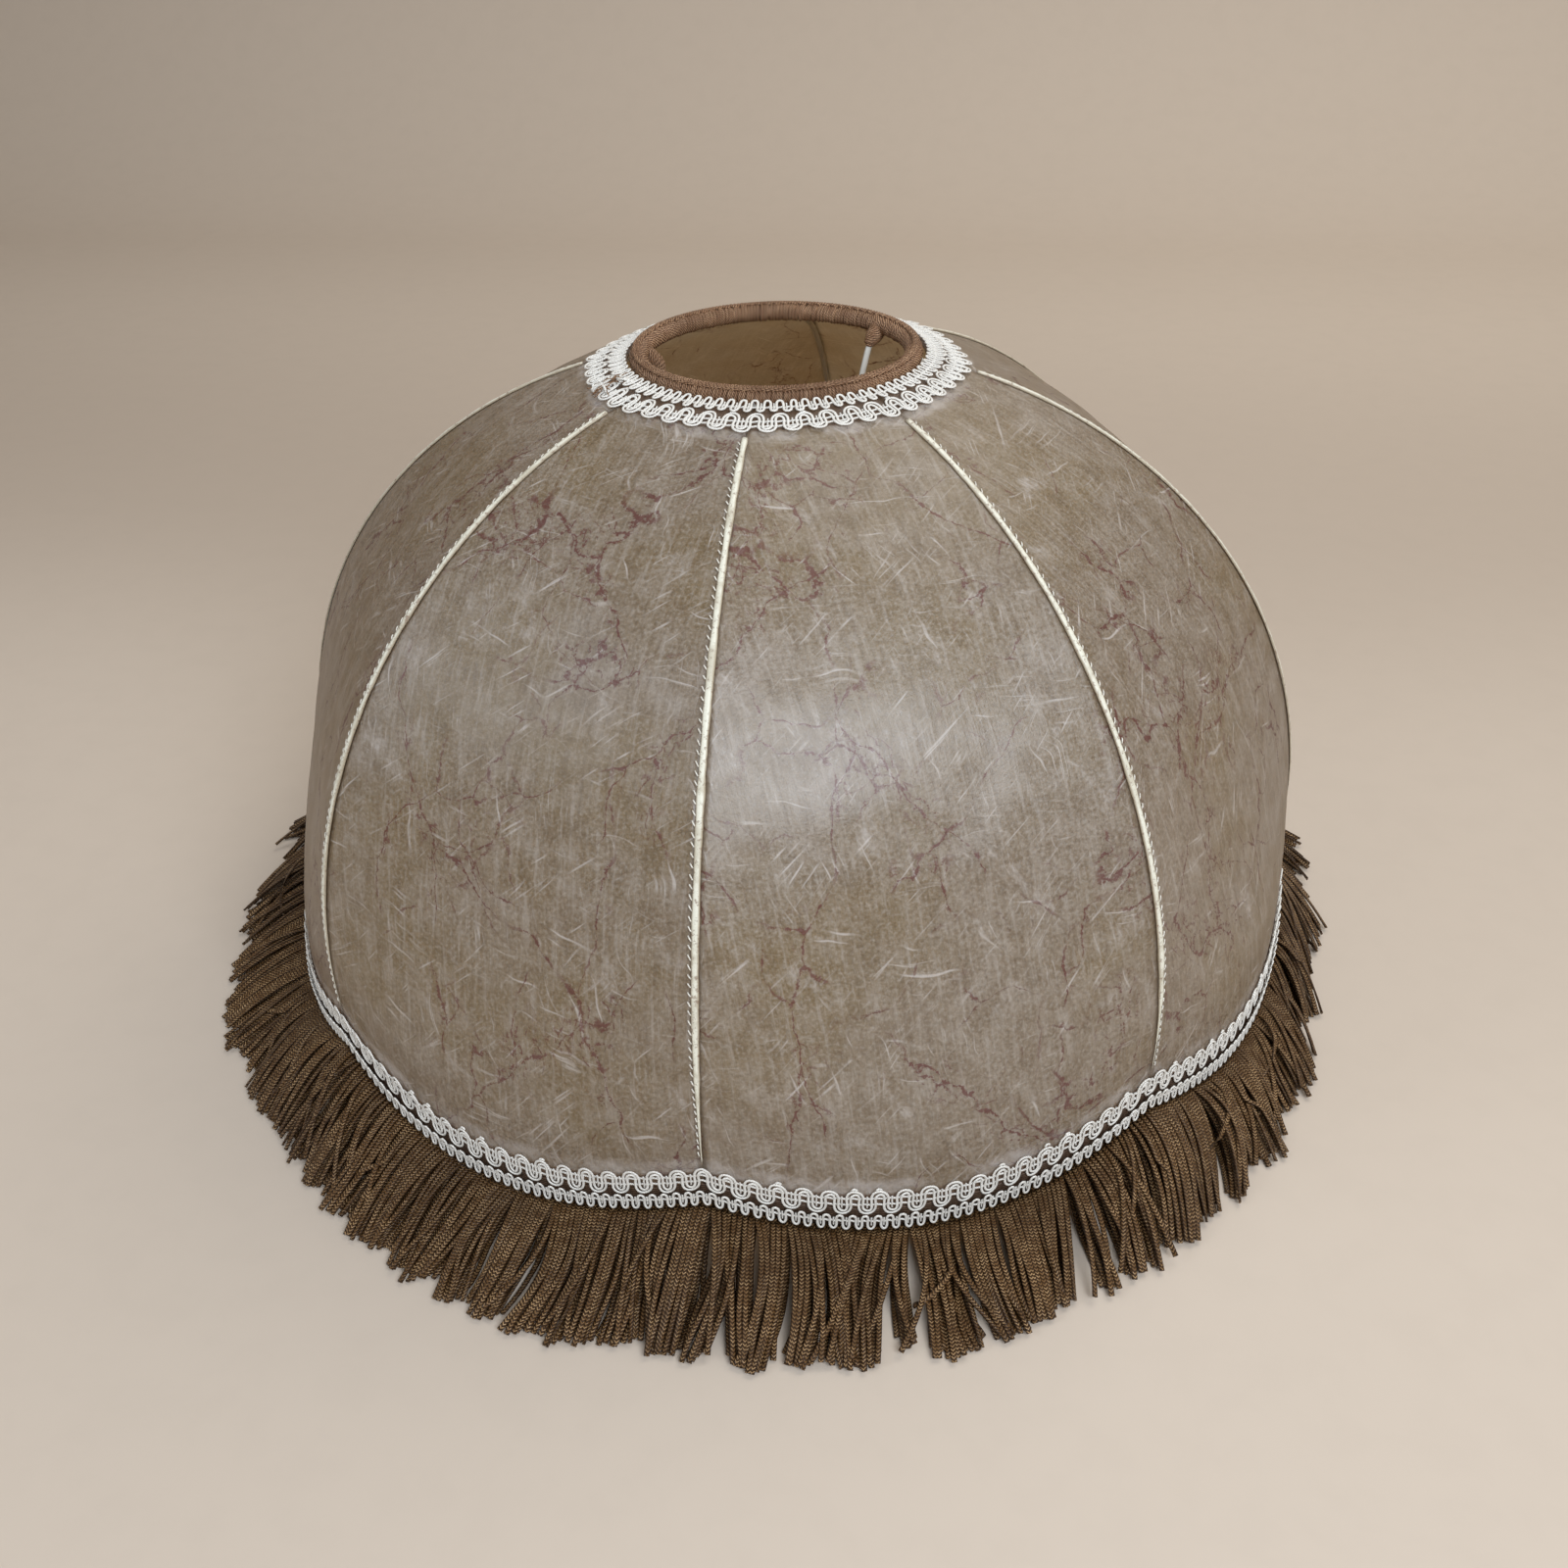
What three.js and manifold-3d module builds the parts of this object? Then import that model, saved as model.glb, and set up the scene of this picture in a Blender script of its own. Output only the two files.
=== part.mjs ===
// Eight-ribbed bell lamp shade: a wire frame under stretched skin, with gimp braid and a fringe.
// Millimetres, +Z up. The origin is on the table, on the centre line of the shade.
import * as THREE from 'three';
import { mergeVertices } from 'three/addons/utils/BufferGeometryUtils.js';
import Module from 'manifold-3d';

// overall size
const ringHeight = 290;       // centre of the top ring above the table
const ringRadius = 60;        // centre line of the top ring
const hemRadius = 246;        // outside of the skin at the hem
const hemHeight = 27.5;       // hem above the table at each rib
const lobeDrop = 18;          // how much lower the hem hangs between ribs

// frame
const ribCount = 8;
const ringWire = 3.8;
const ribWire = 2.8;
const hemWire = 3;
const jointSwell = 0.25;      // solder round each joint of the hem wire
const bindingWall = 2.05;     // yarn wound over the top ring

// curve of the ribs, as shares of the way from the ring to the hem
const shoulderOut = 0.596;
const shoulderDrop = 0.086;
const bellyOut = 0.102;
const bellyRise = 0.54;
const skinTopDrop = 1.6;      // top edge of the skin below the centre of the ring
const skinTopGap = 1.2;       // top edge of the skin to the yarn binding

// skin
const skinThickness = 1;
const panelFullness = 0.25;   // 0 is flat between ribs, 1 follows the full circle
const ringBlend = 0.12;       // share of the height where the panel turns round, at the ring
const hemBlend = 0.35;        // the same at the hem
const lobeStart = 0.5;        // share of the height where the lobes begin

// trim
const beadWidth = 2.8;
const beadHeight = 1.2;
const scrollWidth = 13;
const narrowWidth = 8.5;
const gimpGap = 1;
const gimpThickness = 2;
const headingInset = 0.5;     // upper edge of the fringe's heading below that of the gimp over it
const headingThickness = 1;

// fringe
const fringeReach = 45;       // how far the tips spread past the hem
const lobeReach = 4;          // extra spread in the middle of each lobe
const fringeTip = 2.5;        // thickness at the tips

// lampholder fitting
const armWire = 2.8;
const armTurns = [45, 180, 315]; // degrees from +X to each arm, in line with a rib
const armDrop = 65;           // lampholder ring below the top ring
const armLean = 11;           // how far in the arms lean before they bend
const holderOuter = 22;
const holderBore = 14.5;
const holderThickness = 1.6;

// fits
const clearance = 0.3;        // air gap between pieces that touch
const jointRoom = 0.6;        // room round a wire where it passes through the binding

// mesh fineness
const lobeColumns = 6;
const panelRows = 10;
const ringSteps = 40;
const bindingSides = 10;
const wireSides = 6;
const jointSides = 6;
const armSteps = 14;

const wireColour = 0xd6d3c8;
const yarnColour = 0x5c3a30;
const skinColour = 0x7d7067;
const beadColour = 0xcdc4ad;
const gimpColour = 0xf0eadc;
const fringeColour = 0x52402f;

const bindingRadius = ringWire / 2 + clearance + bindingWall;
const lobeAngle = 2 * Math.PI / ribCount;
const skinTopRadius = ringRadius + bindingRadius + skinTopGap;
const skinTopHeight = ringHeight - skinTopDrop;

const profile = new THREE.CubicBezierCurve(
  new THREE.Vector2(skinTopRadius, skinTopHeight),
  new THREE.Vector2(
    skinTopRadius + shoulderOut * (hemRadius - skinTopRadius),
    skinTopHeight - shoulderDrop * (skinTopHeight - hemHeight)
  ),
  new THREE.Vector2(
    hemRadius + bellyOut * (hemRadius - skinTopRadius),
    hemHeight + bellyRise * (skinTopHeight - hemHeight)
  ),
  new THREE.Vector2(hemRadius, hemHeight)
);
const profileLength = profile.getLength();

const { Manifold, Mesh: SolidMesh } = await loadManifold();
const shade = new THREE.Group();
const skinRows = trimRows();

addFrame();
addFitting();
addSkins();
addGimps();
addFringe();

async function loadManifold() {
  const wasm = await Module();
  wasm.setup();
  return wasm;
}

function addPiece(name, geometry, colour, roughness, metalness = 0) {
  const material = new THREE.MeshStandardMaterial({ color: colour, roughness, metalness });
  const mesh = new THREE.Mesh(geometry, material);
  mesh.name = name;
  shade.add(mesh);
  return mesh;
}

function toSolid(geometry) {
  const plain = geometry.clone();
  plain.deleteAttribute('uv');
  plain.deleteAttribute('normal');
  const merged = mergeVertices(plain, 1e-4);
  return new Manifold(new SolidMesh({
    numProp: 3,
    vertProperties: new Float32Array(merged.attributes.position.array),
    triVerts: new Uint32Array(merged.index.array)
  }));
}

function toGeometry(solid) {
  const mesh = solid.getMesh();
  const geometry = new THREE.BufferGeometry();
  const count = mesh.vertProperties.length / mesh.numProp;
  const positions = new Float32Array(count * 3);
  for (let i = 0; i < count; i++) {
    for (let k = 0; k < 3; k++) {
      positions[i * 3 + k] = mesh.vertProperties[i * mesh.numProp + k];
    }
  }
  geometry.setAttribute('position', new THREE.BufferAttribute(positions, 3));
  geometry.setIndex(new THREE.BufferAttribute(new Uint32Array(mesh.triVerts), 1));
  return geometry;
}

function smoothStep(x) {
  const t = Math.min(1, Math.max(0, x));
  return t * t * (3 - 2 * t);
}

// a point in the upright plane that stands at an angle round the shade
function turned(angle, radius, height) {
  return new THREE.Vector3(radius * Math.cos(angle), radius * Math.sin(angle), height);
}

// angle from the middle of the lobe that holds this angle
function fromLobeMiddle(angle) {
  const turns = angle / lobeAngle - 0.5;
  return (turns - Math.round(turns)) * lobeAngle;
}

// a point at a distance down the skin, lifted off its outer face by offset
function skinPoint(angle, distance, offset) {
  const share = Math.min(1, distance / profileLength);
  const point = profile.getPointAt(share);
  const along = profile.getTangentAt(share);
  const past = Math.max(0, distance - profileLength);
  const local = fromLobeMiddle(angle);
  const flat = Math.cos(lobeAngle / 2) / Math.cos(local);
  const turn = smoothStep(share / ringBlend) * smoothStep((1 - share) / hemBlend);
  const fullness = 1 - (1 - panelFullness) * turn;
  const dip = Math.cos(local * ribCount / 2) * smoothStep((share - lobeStart) / (1 - lobeStart));
  const radius = point.x * (fullness + (1 - fullness) * flat) + along.x * past - along.y * offset;
  const height = point.y - lobeDrop * dip + along.y * past + along.x * offset;
  return turned(angle, radius, height);
}

// distances down the skin where the trim starts and stops, with even rows between
function trimRows() {
  const trimDepth = narrowWidth + gimpGap + scrollWidth;
  const rows = [0, narrowWidth, narrowWidth + gimpGap, trimDepth];
  const open = profileLength - 2 * trimDepth;
  for (let i = 1; i < panelRows; i++) {
    rows.push(trimDepth + open * i / panelRows);
  }
  for (const fromHem of [trimDepth, narrowWidth + gimpGap, narrowWidth, 0]) {
    rows.push(profileLength - fromHem);
  }
  return rows;
}

// a closed solid through matching outlines; each outline pairs its first point with its last
function sweepOutlines(outlines, closed) {
  const size = outlines[0].length;
  const positions = [];
  for (const outline of outlines) {
    for (const point of outline) {
      positions.push(point.x, point.y, point.z);
    }
  }
  const index = [];
  const quad = (a, b, c, d) => index.push(a, b, c, a, c, d);
  const spans = closed ? outlines.length : outlines.length - 1;
  for (let i = 0; i < spans; i++) {
    const here = i * size;
    const next = ((i + 1) % outlines.length) * size;
    for (let k = 0; k < size; k++) {
      const other = (k + 1) % size;
      quad(here + k, here + other, next + other, next + k);
    }
  }
  if (!closed) {
    const last = (outlines.length - 1) * size;
    for (let k = 0; k < size / 2 - 1; k++) {
      quad(k, size - 1 - k, size - 2 - k, k + 1);
      quad(last + k, last + k + 1, last + size - 2 - k, last + size - 1 - k);
    }
  }
  const geometry = new THREE.BufferGeometry();
  geometry.setAttribute('position', new THREE.Float32BufferAttribute(positions, 3));
  geometry.setIndex(facesOut(positions, index));
  return geometry;
}

// turns every face round when the solid is inside out
function facesOut(positions, index) {
  const a = new THREE.Vector3();
  const b = new THREE.Vector3();
  const c = new THREE.Vector3();
  let volume = 0;
  for (let i = 0; i < index.length; i += 3) {
    a.fromArray(positions, index[i] * 3);
    b.fromArray(positions, index[i + 1] * 3);
    c.fromArray(positions, index[i + 2] * 3);
    volume += a.dot(b.cross(c));
  }
  return volume < 0 ? index.reverse() : index;
}

function wireShape(diameter) {
  const shape = new THREE.Shape();
  for (let i = 0; i < wireSides; i++) {
    const angle = 2 * Math.PI * i / wireSides;
    const x = diameter / 2 * Math.cos(angle);
    const y = diameter / 2 * Math.sin(angle);
    if (i === 0) {
      shape.moveTo(x, y);
    } else {
      shape.lineTo(x, y);
    }
  }
  shape.closePath();
  return shape;
}

// a wire with one ring of corners at each point given
function wireThrough(points, diameter) {
  const path = new THREE.CatmullRomCurve3(points, false, 'centripetal');
  path.getUtoTmapping = (share) => share;
  return new THREE.ExtrudeGeometry(wireShape(diameter), { steps: points.length - 1, extrudePath: path });
}

// where a wire leaves the top ring, heading for a point in the same upright plane
function ringStart(angle, radius, height) {
  const away = new THREE.Vector2(radius - ringRadius, height - ringHeight).normalize();
  const reach = ringWire / 2 + clearance;
  return turned(angle, ringRadius + away.x * reach, ringHeight + away.y * reach);
}

// a straight peg from the middle of the ring wire outwards, used to open the binding
function bindingHole(angle, radius, height, wire) {
  const from = turned(angle, ringRadius, ringHeight);
  const away = turned(angle, radius, height).sub(from).normalize();
  const length = 3 * bindingRadius;
  const peg = new THREE.CylinderGeometry(wire / 2 + jointRoom, wire / 2 + jointRoom, length, jointSides);
  const turn = new THREE.Quaternion().setFromUnitVectors(new THREE.Vector3(0, 1, 0), away);
  peg.applyQuaternion(turn);
  const middle = from.addScaledVector(away, length / 2);
  peg.translate(middle.x, middle.y, middle.z);
  return toSolid(peg);
}

function ribDepth(wire) {
  return -(skinThickness + clearance + wire / 2);
}

// a rib bends at the same rows as the skins over it, so it keeps one gap to them
function ribPoints(angle) {
  const depth = ribDepth(ribWire);
  const jointRadius = hemWire / 2 + jointSwell;
  const end = profileLength - hemWire - jointRadius - clearance;
  const first = skinPoint(angle, 0, depth);
  const points = [ringStart(angle, Math.hypot(first.x, first.y), first.z)];
  for (const distance of [...skinRows.filter((row) => row < end - hemWire), end]) {
    points.push(skinPoint(angle, distance, depth));
  }
  return points;
}

function armPoints(angle) {
  const floor = ringHeight - armDrop;
  const lead = 1.5 * bindingRadius;
  const reach = lead + armLean - bindingRadius;
  const route = new THREE.CatmullRomCurve3([
    ringStart(angle, ringRadius - lead, ringHeight - lead),
    turned(angle, ringRadius - lead, ringHeight - lead),
    turned(angle, ringRadius - reach, ringHeight - 0.42 * armDrop),
    turned(angle, holderOuter + 18, floor + 12),
    turned(angle, holderOuter + 9, floor),
    turned(angle, holderOuter + clearance, floor)
  ], false, 'centripetal');
  return route.getSpacedPoints(armSteps);
}

function addFrame() {
  const ring = new THREE.TorusGeometry(ringRadius, ringWire / 2, wireSides, ringSteps);
  ring.translate(0, 0, ringHeight);
  addPiece('top_ring', ring, wireColour, 0.45, 0.3);
  for (let i = 0; i < ribCount; i++) {
    const rib = wireThrough(ribPoints(i * lobeAngle), ribWire);
    addPiece(`rib_${i + 1}`, rib, wireColour, 0.45, 0.3);
  }
  addPiece('bottom_ring', hemWireGeometry(), wireColour, 0.45, 0.3);
  addPiece('ring_binding', bindingGeometry(), yarnColour, 0.85);
}

// yarn wound round the ring wire, open where each rib and arm comes through
function bindingGeometry() {
  const outer = new THREE.TorusGeometry(ringRadius, bindingRadius, bindingSides, ringSteps);
  const inner = new THREE.TorusGeometry(ringRadius, ringWire / 2 + clearance, wireSides, ringSteps);
  outer.translate(0, 0, ringHeight);
  inner.translate(0, 0, ringHeight);
  let solid = toSolid(outer).subtract(toSolid(inner));
  for (let i = 0; i < ribCount; i++) {
    const first = skinPoint(i * lobeAngle, 0, ribDepth(ribWire));
    solid = solid.subtract(bindingHole(i * lobeAngle, Math.hypot(first.x, first.y), first.z, ribWire));
  }
  const lead = 1.5 * bindingRadius;
  for (const turn of armTurns) {
    const angle = THREE.MathUtils.degToRad(turn);
    solid = solid.subtract(bindingHole(angle, ringRadius - lead, ringHeight - lead, armWire));
  }
  return toGeometry(solid);
}

// eight bowed lengths of wire, soldered where they meet the ribs
function hemWireGeometry() {
  const distance = profileLength - hemWire;
  const depth = ribDepth(hemWire);
  let solid;
  for (let lobe = 0; lobe < ribCount; lobe++) {
    const points = [];
    for (let i = 0; i <= lobeColumns; i++) {
      points.push(skinPoint((lobe + i / lobeColumns) * lobeAngle, distance, depth));
    }
    const joint = new THREE.SphereGeometry(hemWire / 2 + jointSwell, jointSides, jointSides);
    joint.translate(points[0].x, points[0].y, points[0].z);
    const bow = toSolid(wireThrough(points, hemWire)).add(toSolid(joint));
    solid = solid ? solid.add(bow) : bow;
  }
  return toGeometry(solid);
}

function addFitting() {
  armTurns.forEach((turn, i) => {
    const arm = wireThrough(armPoints(THREE.MathUtils.degToRad(turn)), armWire);
    addPiece(`fitter_arm_${i + 1}`, arm, wireColour, 0.4, 0.3);
  });
  const low = ringHeight - armDrop - holderThickness / 2;
  const high = low + holderThickness;
  const outline = [
    new THREE.Vector2(holderBore, low),
    new THREE.Vector2(holderOuter, low),
    new THREE.Vector2(holderOuter, high),
    new THREE.Vector2(holderBore, high),
    new THREE.Vector2(holderBore, low)
  ];
  const plate = new THREE.LatheGeometry(outline, 32);
  plate.rotateX(Math.PI / 2);
  addPiece('lampholder_ring', plate, wireColour, 0.4, 0.3);
}

function addSkins() {
  for (let i = 0; i < ribCount; i++) {
    addPiece(`skin_panel_${i + 1}`, panelGeometry(i), skinColour, 0.5);
    addPiece(`seam_bead_${i + 1}`, beadGeometry(i * lobeAngle), beadColour, 0.55);
  }
}

// one skin between two ribs, half a clearance short of the middle of each
function panelGeometry(lobe) {
  const outlines = skinRows.map((distance) => {
    const edge = skinPoint(lobe * lobeAngle, distance, 0);
    const shy = clearance / 2 / Math.hypot(edge.x, edge.y);
    const outer = [];
    const inner = [];
    for (let k = 0; k <= lobeColumns; k++) {
      const share = k / lobeColumns;
      const angle = lobe * lobeAngle + THREE.MathUtils.clamp(share * lobeAngle, shy, lobeAngle - shy);
      outer.push(skinPoint(angle, distance, 0));
      inner.unshift(skinPoint(angle, distance, -skinThickness));
    }
    return [...outer, ...inner];
  });
  return sweepOutlines(outlines, false);
}

// the raised seam over one rib, between the two braids
function beadGeometry(angle) {
  const trimDepth = narrowWidth + gimpGap + scrollWidth;
  const side = new THREE.Vector3(-Math.sin(angle), Math.cos(angle), 0);
  const half = beadWidth / 2;
  const outline = [[half, 0], [0.75 * half, 0.7], [0.3 * half, 1]];
  const inside = skinRows.filter((row) => row > trimDepth && row < profileLength - trimDepth);
  const rows = [trimDepth + clearance, ...inside, profileLength - trimDepth - clearance];
  const outlines = rows.map((distance) => {
    const left = outline.map(([x, h]) =>
      skinPoint(angle, distance, clearance + h * beadHeight).addScaledVector(side, -x));
    const right = outline.map(([x, h]) =>
      skinPoint(angle, distance, clearance + h * beadHeight).addScaledVector(side, x));
    return [...left, ...right.reverse()];
  });
  return sweepOutlines(outlines, false);
}

// a flat band all the way round the shade, lying on the skin and creased like it
function bandGeometry(from, to, offset, thickness) {
  const outlines = [];
  for (let i = 0; i < ribCount * lobeColumns; i++) {
    const angle = i * lobeAngle / lobeColumns;
    outlines.push([
      skinPoint(angle, to, offset + thickness),
      skinPoint(angle, from, offset + thickness),
      skinPoint(angle, from, offset),
      skinPoint(angle, to, offset)
    ]);
  }
  return sweepOutlines(outlines, true);
}

function addGimps() {
  const scrollFrom = narrowWidth + gimpGap;
  const scrollTo = scrollFrom + scrollWidth;
  const hem = profileLength;
  const overHeading = 2 * clearance + headingThickness;
  addPiece('top_narrow_gimp', bandGeometry(0, narrowWidth, clearance, gimpThickness), gimpColour, 0.6);
  addPiece('top_scroll_gimp', bandGeometry(scrollFrom, scrollTo, clearance, gimpThickness), gimpColour, 0.6);
  addPiece('hem_scroll_gimp', bandGeometry(hem - scrollTo, hem - scrollFrom, clearance, gimpThickness),
    gimpColour, 0.6);
  addPiece('hem_narrow_gimp', bandGeometry(hem - narrowWidth, hem, overHeading, gimpThickness),
    gimpColour, 0.6);
  addPiece('fringe_heading', bandGeometry(hem - narrowWidth + headingInset, hem, clearance, headingThickness),
    fringeColour, 0.9);
}

// the fringe of one lobe: it hangs from the hem, spreads out and lies on the table
function fringeOutline(angle) {
  const outside = 2 * clearance + headingThickness + gimpThickness / 2;
  const top = skinPoint(angle, profileLength + clearance, outside);
  const under = skinPoint(angle, profileLength + clearance, -skinThickness);
  const dip = Math.cos(fromLobeMiddle(angle) * ribCount / 2);
  const reach = fringeReach + lobeReach * dip;
  const edge = Math.hypot(top.x, top.y);
  const fall = top.z - fringeTip;
  return [
    top,
    turned(angle, edge + 0.36 * reach, fringeTip + 0.8 * fall),
    turned(angle, edge + 0.74 * reach, fringeTip + 0.34 * fall),
    turned(angle, edge + reach, fringeTip),
    turned(angle, edge + reach, 0),
    turned(angle, edge + 0.58 * reach, 0),
    turned(angle, edge + 0.22 * reach, 0.5 * under.z),
    under
  ];
}

function addFringe() {
  for (let lobe = 0; lobe < ribCount; lobe++) {
    const shy = clearance / 2 / hemRadius;
    const outlines = [];
    for (let k = 0; k <= lobeColumns; k++) {
      const share = k / lobeColumns;
      outlines.push(fringeOutline(
        lobe * lobeAngle + THREE.MathUtils.clamp(share * lobeAngle, shy, lobeAngle - shy)));
    }
    addPiece(`fringe_${lobe + 1}`, sweepOutlines(outlines, false), fringeColour, 0.9);
  }
}

export default shade;
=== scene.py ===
# Looks for an eight-ribbed bell lamp shade: stretched skin, wound ring, gimp braid and cord fringe.
# Metres, +Z up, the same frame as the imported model.
import math
import bpy
import numpy as np
from mathutils import Matrix, Vector


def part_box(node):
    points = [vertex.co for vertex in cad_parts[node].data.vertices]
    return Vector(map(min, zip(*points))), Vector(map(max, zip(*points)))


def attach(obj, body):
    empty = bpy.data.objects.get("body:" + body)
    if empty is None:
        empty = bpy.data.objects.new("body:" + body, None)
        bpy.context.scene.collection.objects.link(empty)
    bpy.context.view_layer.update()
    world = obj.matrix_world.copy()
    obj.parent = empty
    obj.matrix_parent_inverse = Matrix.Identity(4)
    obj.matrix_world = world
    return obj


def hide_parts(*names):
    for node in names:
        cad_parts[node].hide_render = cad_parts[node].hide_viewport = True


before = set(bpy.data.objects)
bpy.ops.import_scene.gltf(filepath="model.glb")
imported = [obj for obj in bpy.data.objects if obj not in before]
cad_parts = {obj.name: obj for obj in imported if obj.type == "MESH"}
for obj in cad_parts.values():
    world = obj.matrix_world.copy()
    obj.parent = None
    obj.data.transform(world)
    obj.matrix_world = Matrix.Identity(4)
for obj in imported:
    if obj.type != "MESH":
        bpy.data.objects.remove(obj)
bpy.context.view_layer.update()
print("frame loaded:", len(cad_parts), "nodes")

# the shade's own sizes, the same as the frame's
shade = dict(
    hemRadius=0.246, hemHeight=0.0275, lobeDrop=0.018, ribCount=8,
    shoulderOut=0.596, shoulderDrop=0.086, bellyOut=0.102, bellyRise=0.54,
    skinTopDrop=0.0016, skinTopGap=0.0012, bindingRadius=0.00425,
    panelFullness=0.25, ringBlend=0.12, hemBlend=0.35, lobeStart=0.5,
    scrollWidth=0.013, narrowWidth=0.0085, gimpGap=0.001,
)
ringLow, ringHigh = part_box("top_ring")
ringHeight = (ringLow.z + ringHigh.z) / 2
ringWire = ringHigh.z - ringLow.z
halfRingWire = 0.0019
ringRadius = ringHigh.x - halfRingWire
lobeAngle = 2 * math.pi / shade["ribCount"]


def smoothStep(x):
    t = np.clip(x, 0, 1)
    return t * t * (3 - 2 * t)


def ribCurve(t):
    startRadius = ringRadius + shade["bindingRadius"] + shade["skinTopGap"]
    startHeight = ringHeight - shade["skinTopDrop"]
    out = shade["hemRadius"] - startRadius
    rise = startHeight - shade["hemHeight"]
    corners = np.array([
        (startRadius, startHeight),
        (startRadius + shade["shoulderOut"] * out, startHeight - shade["shoulderDrop"] * rise),
        (shade["hemRadius"] + shade["bellyOut"] * out, shade["hemHeight"] + shade["bellyRise"] * rise),
        (shade["hemRadius"], shade["hemHeight"]),
    ])
    weights = np.stack([(1 - t) ** 3, 3 * t * (1 - t) ** 2, 3 * t * t * (1 - t), t ** 3], -1)
    return weights @ corners


curveSteps = np.linspace(0, 1, 1201)
curvePoints = ribCurve(curveSteps)
curveLengths = np.concatenate([[0], np.cumsum(np.linalg.norm(np.diff(curvePoints, axis=0), axis=1))])
skinLength = curveLengths[-1]
trimDepth = shade["narrowWidth"] + shade["gimpGap"] + shade["scrollWidth"]


def fromLobeMiddle(angle):
    turns = angle / lobeAngle - 0.5
    return (turns - np.round(turns)) * lobeAngle


# a point at a distance down the skin, lifted off its outer face by offset
def skinPoint(angle, distance, offset):
    angle, distance, offset = np.broadcast_arrays(angle, distance, offset)
    share = np.clip(distance / skinLength, 0, 1)
    t = np.interp(share * skinLength, curveLengths, curveSteps)
    point = ribCurve(t)
    along = ribCurve(np.minimum(t + 1e-4, 1)) - ribCurve(np.maximum(t - 1e-4, 0))
    along /= np.linalg.norm(along, axis=-1, keepdims=True)
    past = np.maximum(0, distance - skinLength)
    local = fromLobeMiddle(angle)
    flat = math.cos(lobeAngle / 2) / np.cos(local)
    turn = smoothStep(share / shade["ringBlend"]) * smoothStep((1 - share) / shade["hemBlend"])
    fullness = 1 - (1 - shade["panelFullness"]) * turn
    start = shade["lobeStart"]
    dip = np.cos(local * shade["ribCount"] / 2) * smoothStep((share - start) / (1 - start))
    radius = point[..., 0] * (fullness + (1 - fullness) * flat)
    radius = radius + along[..., 0] * past - along[..., 1] * offset
    height = point[..., 1] - shade["lobeDrop"] * dip + along[..., 1] * past + along[..., 0] * offset
    return np.stack([radius * np.cos(angle), radius * np.sin(angle), height], -1)


def unit(vectors):
    return vectors / np.maximum(np.linalg.norm(vectors, axis=-1, keepdims=True), 1e-12)


def skinNormal(angle, distance):
    return unit(skinPoint(angle, distance, 0.0004) - skinPoint(angle, distance, 0))


def alongPath(points):
    steps = np.linalg.norm(np.diff(points, axis=0), axis=1)
    return np.concatenate([[0], np.cumsum(steps)])


# meshes are gathered as (vertices, quads, uv) and joined into one object
def gridPart(points, uv):
    rows, columns = points.shape[:2]
    index = np.arange(rows * columns).reshape(rows, columns)
    quads = np.stack([index[:-1, :-1], index[:-1, 1:], index[1:, 1:], index[1:, :-1]], -1).reshape(-1, 4)
    return points.reshape(-1, 3), quads, uv.reshape(-1, 2)


# the faces round a tube of count rings, and the caps over its two ends
def tubeQuads(count, sides):
    index = np.arange(count * sides).reshape(count, sides)
    turned = np.roll(index, -1, axis=1)
    quads = np.stack([index[:-1], turned[:-1], turned[1:], index[1:]], -1).reshape(-1, 4)
    caps = []
    for k in range(sides // 2 - 1):
        cap = [k, sides - 1 - k, sides - 2 - k, k + 1]
        caps += [cap, [(count - 1) * sides + c for c in reversed(cap)]]
    return np.concatenate([quads, np.array(caps)])


# a closed cord through points; section holds (across, up) corners, an even number of them
def tubePart(points, normals, section, sizes=None, start=0.0):
    tangents = unit(np.gradient(points, axis=0))
    across = unit(np.cross(tangents, normals))
    up = np.cross(across, tangents)
    if sizes is None:
        sizes = np.ones(len(points))
    ring = section[None, :, :] * sizes[:, None, None]
    vertices = points[:, None, :] + ring[..., :1] * across[:, None, :] + ring[..., 1:] * up[:, None, :]
    quads = tubeQuads(*vertices.shape[:2])
    lengths = alongPath(points) + start
    width = np.abs(section[:, 0]).max()
    uv = np.stack(np.broadcast_arrays(section[None, :, 0] / width, lengths[:, None]), -1)
    return vertices.reshape(-1, 3), quads, uv.reshape(-1, 2)


def roundSection(radius, sides=8, squash=1.0):
    angles = (np.arange(sides) + 0.5) * 2 * math.pi / sides
    return np.stack([radius * np.cos(angles), squash * radius * np.sin(angles)], -1)


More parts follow.
